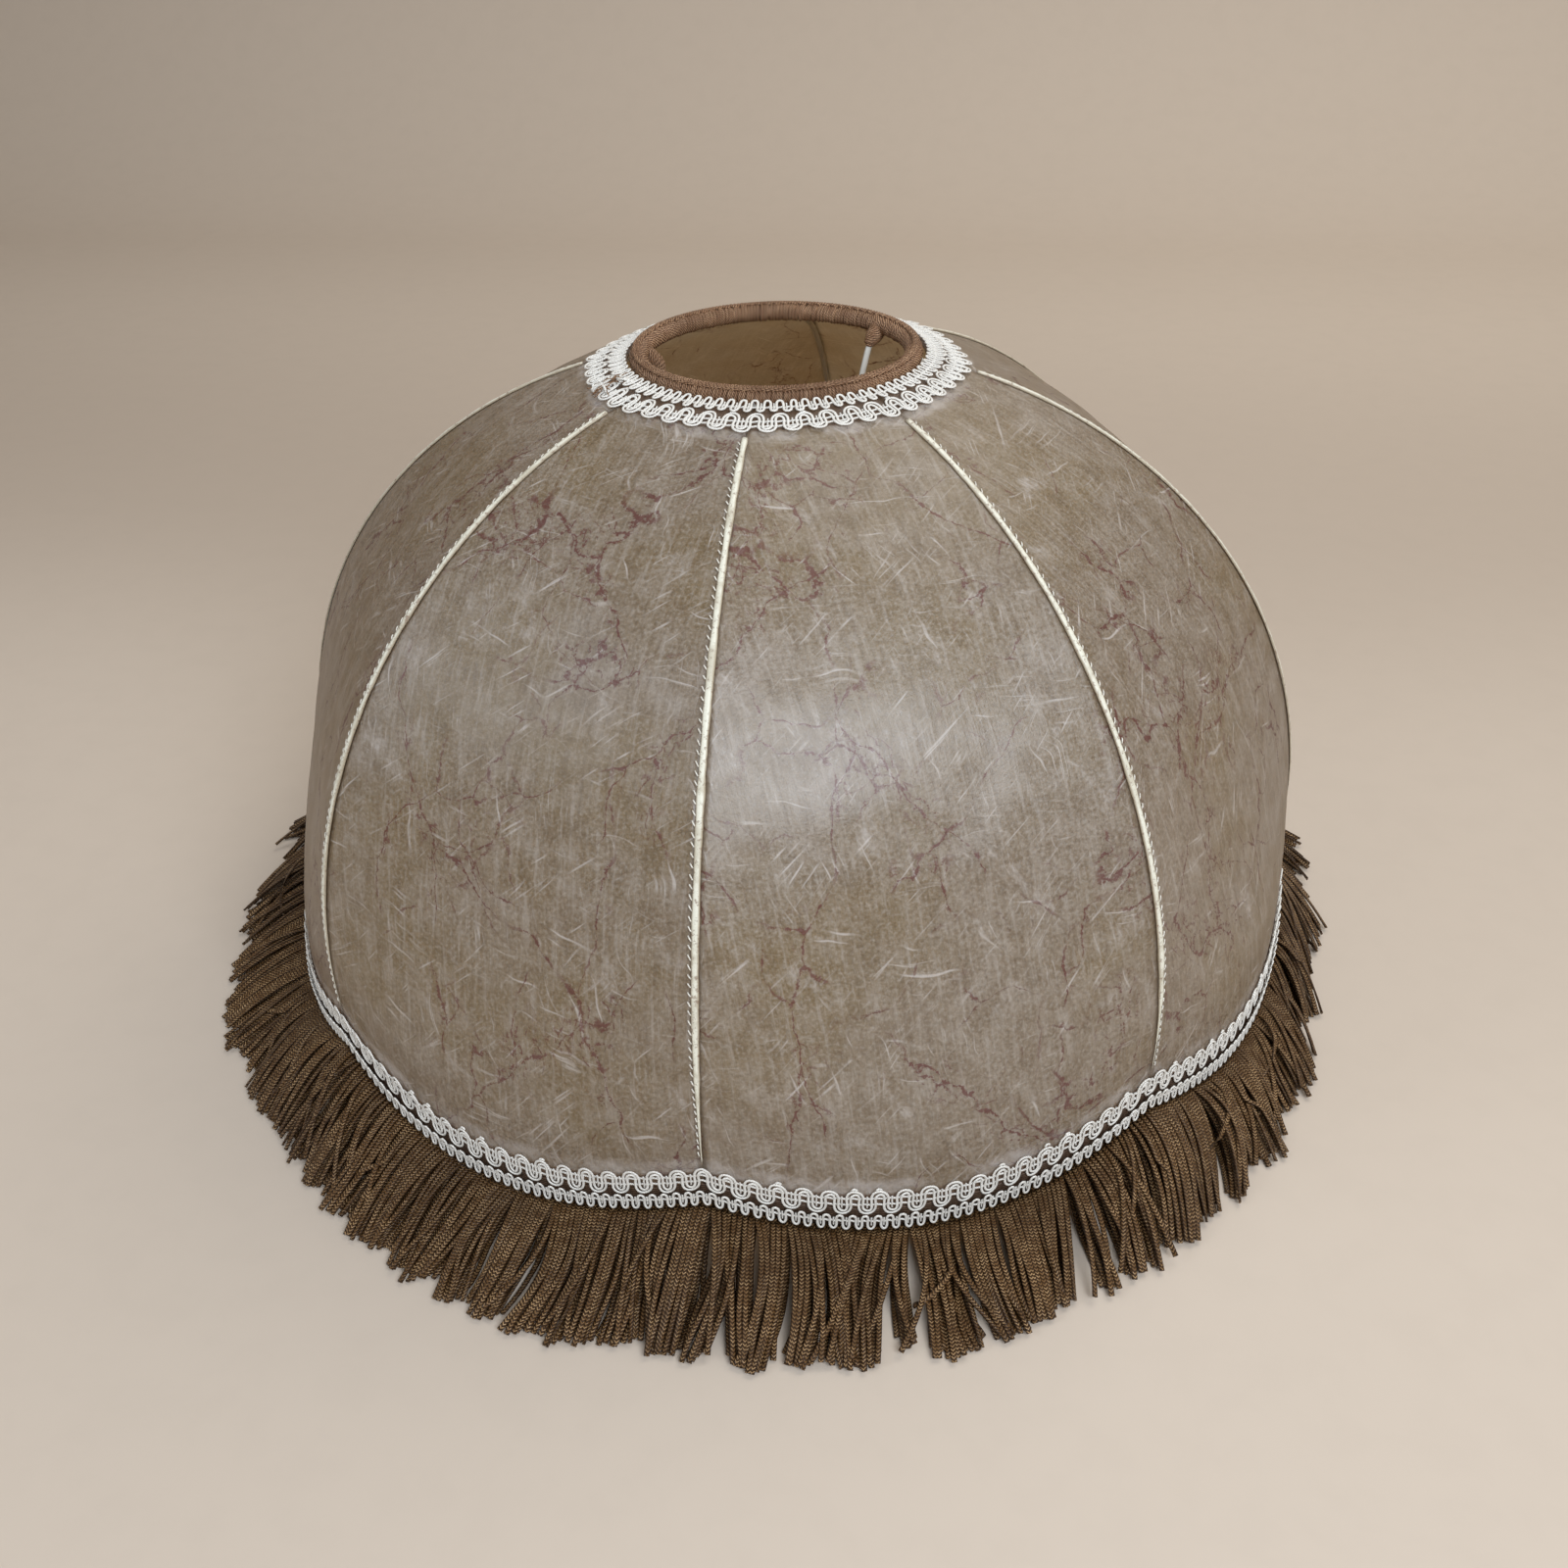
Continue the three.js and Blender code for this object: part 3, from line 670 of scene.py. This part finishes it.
# the wire frame, as smooth rods
def rodAlong(points, radius):
    tangents = unit(np.gradient(points, axis=0))
    helper = np.cross(tangents, np.array([0.3, 0.2, 1.0]))
    return tubePart(points, unit(helper), roundSection(radius, 12))


# how thick the wires and the skin are, and the gap left between the wires and what they carry
wires = dict(rib=0.0028, hem=0.003, skin=0.001, gap=0.0003, ribStop=0.0055, hemAt=0.003, solder=0.0018)


def addFrameWires():
    ribWire, hemWire = wires["rib"], wires["hem"]
    skin, gap = wires["skin"], wires["gap"]
    depth = -(skin + gap + ribWire / 2)
    for rib in range(shade["ribCount"]):
        angle = rib * lobeAngle
        first = skinPoint(angle, 0.0, depth)
        middle = np.array([ringRadius * math.cos(angle), ringRadius * math.sin(angle), ringHeight])
        away = unit(first - middle)
        distance = np.linspace(0, skinLength - wires["ribStop"], 90)
        points = np.concatenate([[middle + away * (ringWire / 2 + gap)], skinPoint(angle, distance, depth)])
        piece = makePiece(f"rib_wire_{rib + 1}", [rodAlong(points, ribWire / 2)], wireMaterial)
        finishPiece(piece, "frame_wire", f"rib_{rib + 1}")
    angle = np.linspace(0, 2 * math.pi, 481)
    hem = skinPoint(angle, skinLength - wires["hemAt"], -(skin + gap + hemWire / 2))
    parts = [rodAlong(hem, hemWire / 2)]
    for rib in range(shade["ribCount"]):  # solder where rib and hem wire meet
        low = skinPoint(rib * lobeAngle, skinLength - 0.0062, depth)
        high = skinPoint(rib * lobeAngle, skinLength - 0.0012, -(skin + gap + hemWire / 2))
        line = low + np.linspace(0, 1, 9)[:, None] * (high - low)
        swell = wires["solder"] * np.sqrt(np.clip(1.06 - np.linspace(-1, 1, 9) ** 2, 0, 1))
        out = np.broadcast_to(skinNormal(rib * lobeAngle, skinLength * 0.95), line.shape)
        parts.append(tubePart(line, out, roundSection(1.0, 12), swell))
    piece = makePiece("hem_wire", parts, wireMaterial)
    finishPiece(piece, "frame_wire", "bottom_ring")
    print("frame wires made")


# the arms that carry the lampholder's ring; lashed is how far yarn runs down each arm
fitting = dict(turns=(45, 180, 315), lashed=(0.0012, 0.0065, 0.0012), drop=0.065, lean=0.011, wire=0.0028,
               outer=0.022, bore=0.0145, plate=0.0016)


# even points on a smooth curve through the corners
def curveThrough(corners, count):
    corners = np.array(corners)
    ends = np.concatenate([[2 * corners[0] - corners[1]], corners, [2 * corners[-1] - corners[-2]]])
    out = []
    for i in range(1, len(ends) - 2):
        a, b, c, d = ends[i - 1:i + 3]
        t = np.linspace(0, 1, 24, endpoint=i == len(ends) - 3)[:, None]
        square, cube = 2 * a - 5 * b + 4 * c - d, 3 * b - a - 3 * c + d
        out.append(0.5 * (2 * b + (c - a) * t + square * t ** 2 + cube * t ** 3))
    points = np.concatenate(out)
    lengths = alongPath(points)
    even = np.linspace(0, lengths[-1], count)
    return np.stack([np.interp(even, lengths, points[:, k]) for k in range(points.shape[1])], -1)


def addFitting():
    bind = shade["bindingRadius"]
    lead = 1.5 * bind
    reach = lead + fitting["lean"] - bind
    floor = ringHeight - fitting["drop"]
    start = (ringWire / 2 + wires["gap"]) / math.sqrt(2)
    corners = [
        (ringRadius - start, ringHeight - start),
        (ringRadius - lead, ringHeight - lead),
        (ringRadius - reach, ringHeight - 0.42 * fitting["drop"]),
        (fitting["outer"] + 0.018, floor + 0.012),
        (fitting["outer"] + 0.009, floor),
        (fitting["outer"] + 0.0003, floor),
    ]
    route = curveThrough(corners, 60)
    for arm, turn in enumerate(fitting["turns"]):
        angle = math.radians(turn)
        points = np.stack([route[:, 0] * math.cos(angle), route[:, 0] * math.sin(angle), route[:, 1]], -1)
        piece = makePiece(f"carrier_arm_{arm + 1}", [rodAlong(points, fitting["wire"] / 2)], wireMaterial)
        finishPiece(piece, "frame_wire", f"fitter_arm_{arm + 1}")
    # pressed ring with rolled edges
    half, edgeRound = fitting["plate"] / 2, 0.0004
    outline = []
    for r, z, a0 in ((fitting["outer"], half, 0), (fitting["bore"], half, 90),
                     (fitting["bore"], -half, 180), (fitting["outer"], -half, 270)):
        inR = r - edgeRound if r == fitting["outer"] else r + edgeRound
        inZ = z - edgeRound if z > 0 else z + edgeRound
        for a in (a0, a0 + 30, a0 + 60, a0 + 90):
            bend = math.radians(a)
            outline.append((inR + edgeRound * math.cos(bend), inZ + edgeRound * math.sin(bend)))
    outline = np.array(outline)
    turn = np.linspace(0, 2 * math.pi, 97)[:-1]
    reach = outline[None, :, 0]
    ring = np.stack([reach * np.cos(turn)[:, None], reach * np.sin(turn)[:, None],
                     floor + np.broadcast_to(outline[None, :, 1], (96, 16))], -1)
    index = np.arange(96 * 16).reshape(96, 16)
    nextRow, nextSide = np.roll(index, -1, axis=0), np.roll(index, -1, axis=1)
    quads = np.stack([index, nextRow, np.roll(nextRow, -1, axis=1), nextSide], -1).reshape(-1, 4)
    vertices = ring.reshape(-1, 3)
    piece = makePiece("lampholder_carrier", [(vertices, quads, vertices[:, :2])], wireMaterial)
    finishPiece(piece, "frame_wire", "lampholder_ring")
    print("fitting made")


addFrameWires()
addFitting()
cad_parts["top_ring"].data.materials.clear()
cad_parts["top_ring"].data.materials.append(wireMaterial)

# yarn wound over the top ring, with a plaited seam along its top
wrap = dict(turns=238, yarn=0.00158, core=0.0033, points=14, plaitStep=0.0052, plaitWidth=0.0014,
            plaitYarn=0.0013, plaitAt=78, plaitOut=0.00415, plaitRise=0.00030,
            lashTurns=11, lashYarn=0.0015, lashSizes=(0.0034, 0.0032, 0.0018))


# a point on a ring of wire thickness radius; around 0 faces out and a quarter turn faces up
def ringPoint(angle, around, radius):
    reach = ringRadius + radius * np.cos(around)
    height = ringHeight + radius * np.sin(around)
    return np.stack([reach * np.cos(angle), reach * np.sin(angle), height], -1)


def addWrap():
    rng = np.random.default_rng(3)
    count = wrap["turns"] * wrap["points"]
    turn = np.linspace(0, wrap["turns"] * 2 * math.pi, count + 1)
    drift = np.interp(turn, np.linspace(0, turn[-1], 500), rng.normal(0, 0.004, 500))
    angle = turn / wrap["turns"] + drift
    lift = np.interp(turn, np.linspace(0, turn[-1], 900), rng.normal(0, 0.00012, 900))
    points = ringPoint(angle, turn, wrap["core"] + lift)
    centre = np.stack([ringRadius * np.cos(angle), ringRadius * np.sin(angle),
                       np.full_like(angle, ringHeight)], -1)
    yarn = tubePart(points, unit(points - centre), roundSection(wrap["yarn"] / 2, 6))
    ringAngle = np.linspace(0, 2 * math.pi, 241)
    middle = ringPoint(ringAngle, np.zeros(241), 0.0)
    core = tubePart(middle, np.broadcast_to([0, 0, 1.0], middle.shape), roundSection(wrap["core"], 16))
    piece = makePiece("ring_wrap", [core, yarn], yarnMaterial)
    finishPiece(piece, "yarn", "ring_binding")
    length = 2 * math.pi * ringRadius
    steps = round(length / wrap["plaitStep"])
    angle = np.linspace(0, 2 * math.pi, steps * 16 + 1)
    phase = angle * steps
    strands = []
    for k in range(3):
        swing = np.sin(phase + k * 2 * math.pi / 3)
        rise = np.sin(2 * (phase + k * 2 * math.pi / 3))
        around = math.radians(wrap["plaitAt"]) + swing * wrap["plaitWidth"] / 0.0046
        points = ringPoint(angle, around, wrap["plaitOut"] + wrap["plaitRise"] * rise)
        normal = unit(points - ringPoint(angle, around, 0.0))
        strands.append(tubePart(points, normal, roundSection(wrap["plaitYarn"] / 2, 6)))
    piece = makePiece("ring_plait", strands, yarnMaterial)
    finishPiece(piece, "yarn")
    for arm, turn in enumerate(fitting["turns"]):  # yarn lashed round the top of each arm
        a = math.radians(turn)
        lead = 1.5 * shade["bindingRadius"]
        reach = fitting["lashed"][arm]
        corners = [(ringRadius - 0.0016, ringHeight - 0.0016), (ringRadius - lead, ringHeight - lead),
                   (ringRadius - lead - 0.2 * reach, ringHeight - lead - reach)]
        line = curveThrough(corners, 141)
        spin = np.linspace(0, wrap["lashTurns"] * 2 * math.pi, 141)
        size = np.interp(np.linspace(0, 1, 141), [0, 0.5, 1], wrap["lashSizes"])
        middle = np.stack([line[:, 0] * math.cos(a), line[:, 0] * math.sin(a), line[:, 1]], -1)
        side = np.array([-math.sin(a), math.cos(a), 0.0])
        out = unit(np.cross(side, np.gradient(middle, axis=0)))
        normal = np.cos(spin)[:, None] * out + np.sin(spin)[:, None] * side
        lashing = tubePart(middle + normal * size[:, None], normal, roundSection(wrap["lashYarn"] / 2, 6))
        core = tubePart(middle, out, roundSection(1.0, 10), size)
        finishPiece(makePiece(f"arm_lashing_{arm + 1}", [core, lashing], yarnMaterial), "yarn")
    print("ring wrap made")


addWrap()

# gimp braid: a doubled cord snaking over a ladder of thin cords
scroll = dict(period=0.0102, swing=0.0051, spread=0.00082, cord=0.00108, hug=0.1, cores=(-0.0016, 0.0016),
              bars=3, barReach=0.0030, knops=0.2)
narrow = dict(period=0.0051, swing=0.0040, spread=0.0, cord=0.00112, hug=0.1, cores=(0.0,),
              bars=1, barReach=0.0022, knops=0.0)


# turns (metres along the band, metres across, lift) into points on the shade
def bandPlacer(middle, base):
    angles = np.linspace(0, 2 * math.pi, 2881)
    lengths = alongPath(skinPoint(angles, middle, 0.001))

    def place(along, across, lift):
        angle = np.interp(along, lengths, angles)
        points = skinPoint(angle, middle + across, base + lift)
        normals = unit(skinPoint(angle, middle + across, base + lift + 0.0005) - points)
        return points, normals
    return place, lengths[-1]


def addGimp(name, braid, middle, base, node, seed):
    place, length = bandPlacer(middle, base)
    rng = np.random.default_rng(seed)
    count = round(length / braid["period"])
    period = length / count
    perPeriod = 20
    phase = np.linspace(0, 2 * math.pi * count, count * perPeriod + 1)
    knots = np.linspace(0, phase[-1], count * 2)
    tallness = np.interp(phase, knots, rng.normal(1, 0.035, len(knots)))
    lag = np.interp(phase, knots, rng.normal(0, 0.00018, len(knots)))
    along = phase / (2 * math.pi) * period + braid["hug"] * period * np.sin(2 * phase) + lag
    across = -braid["swing"] * tallness * np.cos(phase)
    slopeX, slopeY = np.gradient(along), np.gradient(across)
    size = np.hypot(slopeX, slopeY)
    parts = []
    for side in ((-1, 1) if braid["spread"] else (0,)):
        x = np.clip(along - side * braid["spread"] * slopeY / size, 0, length)
        y = across + side * braid["spread"] * slopeX / size
        lift = 0.00135 + 0.00022 * np.cos(2 * phase + side)
        points, normals = place(x, y, lift)
        parts.append(tubePart(points, normals, roundSection(braid["cord"] / 2, 8, 0.66)))
    for core in braid["cores"]:
        x = np.linspace(0, length, count * 8 + 1)
        points, normals = place(x, np.full_like(x, core), 0.0007 + 0.00018 * np.sin(x / period * 4 * math.pi))
        parts.append(tubePart(points, normals, roundSection(0.00042, 6)))
    barStep = period / braid["bars"]
    for i in range(count * braid["bars"]):
        x = (i + 0.5) * barStep + rng.normal(0, 0.00012)
        y = np.linspace(-braid["barReach"], braid["barReach"], 7)
        points, normals = place(np.full(7, x), y, 0.00095 + 0.00022 * np.cos(np.linspace(0, 4 * math.pi, 7)))
        parts.append(tubePart(points, normals, roundSection(0.00036, 6)))
    for i in range(count):
        if rng.random() < braid["knops"]:
            bend = np.linspace(0.1 * math.pi, 0.9 * math.pi, 9)
            x = (i + rng.normal(0, 0.02)) % count * period + 0.0011 * np.cos(bend)
            y = -braid["swing"] - braid["spread"] - 0.0001 - 0.0010 * np.sin(bend)
            points, normals = place(np.clip(x, 0, length), y, np.full(9, 0.0012))
            parts.append(tubePart(points, normals, roundSection(0.00045, 6)))
    piece = makePiece(name, parts, gimpMaterial)
    finishPiece(piece, "braid", node)


# loose ends of yarn and gimp cord where the top braids meet
def addFrayedJoin(angle):
    rng = np.random.default_rng(21)
    for name, material, slot, count, thick in (("join_threads", yarnMaterial, "yarn", 15, 0.0004),
                                               ("join_ends", gimpMaterial, "braid", 6, 0.0010)):
        parts = []
        for _ in range(count):
            share = np.linspace(0, 1, 12)
            start, turn = rng.normal(0, 0.035), rng.uniform(0, 2 * math.pi)
            reach, bend = rng.uniform(0.004, 0.010), rng.normal(0, 1.6)
            heading = turn + bend * share
            along = np.cumsum(np.cos(heading)) / 12 * reach
            across = 0.0115 + rng.normal(0, 0.0035) + np.cumsum(np.sin(heading)) / 12 * reach
            lift = 0.0030 + 0.0016 * np.sin(share * math.pi) * rng.uniform(0.3, 1.0) - 0.0012 * share
            turned = angle + start + along / 0.07
            points = skinPoint(turned, np.clip(across, 0.002, 0.022), lift)
            parts.append(tubePart(points, skinNormal(angle, 0.012), roundSection(thick / 2, 6)))
        finishPiece(makePiece(name, parts, material), slot)


scrollMiddle = shade["narrowWidth"] + shade["gimpGap"] + shade["scrollWidth"] / 2 - 0.0012
narrowMiddle = shade["narrowWidth"] / 2 + 0.0012
addGimp("top_narrow_braid", narrow, narrowMiddle - 0.0018, 0.0009, "top_narrow_gimp", 11)
addGimp("top_scroll_braid", scroll, scrollMiddle - 0.0006, 0.0001, "top_scroll_gimp", 12)
addFrayedJoin(math.radians(213))
addGimp("hem_scroll_braid", scroll, skinLength - scrollMiddle, 0.0001, "hem_scroll_gimp", 13)
addGimp("hem_narrow_braid", narrow, skinLength - narrowMiddle, 0.0017, "hem_narrow_gimp", 14)
print("gimp braid made")

# the fringe: its knitted heading and three layers of flat cords that fall and lie on the table
fringe = dict(cord=0.00225, thick=0.00105, pitch=0.00215, reach=0.045, lobeReach=0.004, tip=0.0025, layers=3,
              clumpLeast=2, clumpMost=9, crossing=0.15, curl=0.022, sweep=0.024, rightSweep=0.016, seed=7,
              headingWidth=0.0108, headingRidge=0.00022, headingLift=0.0006)


def addHeading():
    angles = np.linspace(0, 2 * math.pi, 2881)
    lengths = alongPath(skinPoint(angles, skinLength, 0.001))
    count = round(lengths[-1] / fringe["pitch"])
    along = np.linspace(0, lengths[-1], count * 4 + 1)
    angle = np.interp(along, lengths, angles)
    ridge = fringe["headingRidge"] * np.abs(np.sin(along / lengths[-1] * count * math.pi))
    rows = np.linspace(skinLength - fringe["headingWidth"], skinLength, 8)
    outer = skinPoint(angle[None, :], rows[:, None], fringe["headingLift"] + ridge[None, :])
    inner = skinPoint(angle[None, :], rows[:, None], 0.00015)
    inner = np.broadcast_to(inner, outer.shape)
    loop = np.concatenate([outer, inner[::-1]], axis=0).transpose(1, 0, 2)
    across = np.concatenate([rows, rows[::-1]])
    uv = np.stack(np.broadcast_arrays(along[:, None] / fringe["pitch"] % 2 - 1, across[None, :]), -1)
    quads = tubeQuads(*loop.shape[:2])
    part = (loop.reshape(-1, 3), quads[:, ::-1], uv.reshape(-1, 2))
    piece = makePiece("fringe_band", [part], headingMaterial)
    finishPiece(piece, "fringe", "fringe_heading")


# for each cord round the hem: its clump's middle, sideways push, length and tilt
def clumpTable(rng, count):
    rows = []
    start = 0
    while start < count:
        size = int(rng.integers(fringe["clumpLeast"], fringe["clumpMost"] + 1))
        size = min(size, count - start)
        push, longer, bow = rng.normal(0, 0.0032), rng.normal(0, 0.0022), rng.normal(0, 0.0024)
        lift, tight = abs(rng.normal(0, 0.0009)), rng.uniform(0.62, 1.22)
        step = 0.0
        for i in range(size):
            if i % 3 == 0:
                step = rng.normal(0, 0.0017)
            rows.append((start + (size - 1) / 2, push, longer + step, bow, lift, tight))
        start += size
    return np.array(rows)


# the fringe reaches further at the front, where it was combed out
def frontReach(angle):
    return 0.010 * max(0.0, math.cos(angle + math.radians(80))) ** 4 - 0.001


# at the sides the cords are dragged towards the front
def sweepAt(angle):
    right = max(0.0, math.cos(angle))
    return -fringe["sweep"] * math.cos(angle) - fringe["rightSweep"] * right ** 3


def cordPart(angle, clumpAngle, layer, shift, longer, bow, lift, tight, rng):
    count = 17
    crossing = layer == 0 and rng.random() < fringe["crossing"]
    curl = layer == 0 and rng.random() < fringe["curl"]
    share = np.linspace(0, 1, count)
    outside = skinPoint(angle, skinLength + 0.0003, 0.0022)
    under = skinPoint(angle, skinLength + 0.0003, -0.001)
    dip = math.cos(fromLobeMiddle(angle) * shade["ribCount"] / 2)
    reach = fringe["reach"] + fringe["lobeReach"] * dip + longer + frontReach(angle)
    height = (1.0, 0.52, 0.04)[layer]
    edge = math.hypot(outside[0], outside[1]) * height + math.hypot(under[0], under[1]) * (1 - height)
    tip = fringe["tip"]
    topZ = tip + (outside[2] - tip) * (1 - share ** 1.5)
    lowZ = under[2] * np.clip(1 - share / 0.58, 0, 1) ** 1.45
    half = fringe["thick"] / 2
    z = np.maximum(lowZ + (topZ - lowZ) * height - half * height, half * 1.02)
    sweep = sweepAt(angle)
    outward = math.sqrt(max(reach ** 2 - sweep ** 2, 0.0004))
    radius = edge + share * outward
    ease = share ** 1.25
    tipRadius = edge + outward
    gather = (clumpAngle - angle) * (tipRadius - 0.94 * edge) * tight
    wobble = rng.normal(0, 0.0011) * np.sin(math.pi * share * rng.uniform(0.8, 2.4) + rng.uniform(0, 3))
    side = (gather + shift) * ease + wobble * share + bow * np.sin(math.pi * share) + sweep * share ** 1.15
    z = z + (lift + abs(rng.normal(0, 0.0003))) * np.sin(math.pi * share) * height
    twist = rng.normal(0, 0.15) + rng.normal(0, 0.45) * share ** 2
    if crossing:
        swing = rng.choice([-1, 1]) * rng.uniform(0.004, 0.016)
        side = side + swing * share ** rng.uniform(1.3, 2.6)
        z = z + 0.0014 * smoothStep(share / 0.3)
        radius = radius - 0.3 * abs(swing) * share ** 2
    if curl:
        hook = rng.choice([-1, 1]) * rng.uniform(0.010, 0.016)
        late = np.clip((share - 0.45) / 0.55, 0, 1)
        side = side + hook * np.sin(late * math.pi * 0.62)
        radius = radius - abs(hook) * 1.5 * late ** 2
        z = z + 0.0016 * smoothStep(share / 0.3)
    z = np.maximum(z, 0.0005 + 1.03 * np.hypot(half * np.cos(twist), fringe["cord"] / 2 * np.sin(twist)))
    turned = angle + side / radius
    points = np.stack([radius * np.cos(turned), radius * np.sin(turned), z], -1)
    tangents = unit(np.gradient(points, axis=0))
    flatSide = unit(np.cross(np.array([-math.sin(angle), math.cos(angle), 0.0]), tangents))
    flatSide = np.where(flatSide[:, 2:] < 0, -flatSide, flatSide)
    across = np.cross(tangents, flatSide)
    normals = flatSide * np.cos(twist)[:, None] + across * np.sin(twist)[:, None]
    a = (np.arange(8) + 0.5) * math.pi / 4
    section = np.stack([np.sign(np.cos(a)) * np.abs(np.cos(a)) ** 0.75 * fringe["cord"] / 2,
                        np.sign(np.sin(a)) * np.abs(np.sin(a)) ** 0.75 * half], -1)
    size = np.ones(count)
    size[-1] = 1.06
    return tubePart(points, normals, section, size, start=rng.uniform(0, 0.01))


def addFringe():
    addHeading()
    rng = np.random.default_rng(fringe["seed"])
    count = round(2 * math.pi * (shade["hemRadius"] + 0.003) / fringe["pitch"])
    clumps = clumpTable(rng, count)
    lobes = [[] for _ in range(shade["ribCount"])]
    for layer in range(fringe["layers"]):
        for i in range(count):
            middle, push, longer, bow, lift, tight = clumps[i]
            angle = 2 * math.pi * (i + 0.5 + 0.33 * layer) / count
            clumpAngle = 2 * math.pi * (middle + 0.5 + 0.33 * layer) / count
            shift = push + rng.normal(0, 0.0004 + 0.0006 * layer)
            reach = longer + rng.normal(0, 0.0007) - 0.0012 * layer
            part = cordPart(angle, clumpAngle, layer, shift, reach, bow, lift, tight, rng)
            lobes[int(angle / lobeAngle) % shade["ribCount"]].append(part)
    for lobe, parts in enumerate(lobes):
        piece = makePiece(f"fringe_cords_{lobe + 1}", parts, fringeMaterial)
        finishPiece(piece, "fringe", f"fringe_{lobe + 1}")
    print("fringe made,", count * fringe["layers"], "cords")


addFringe()
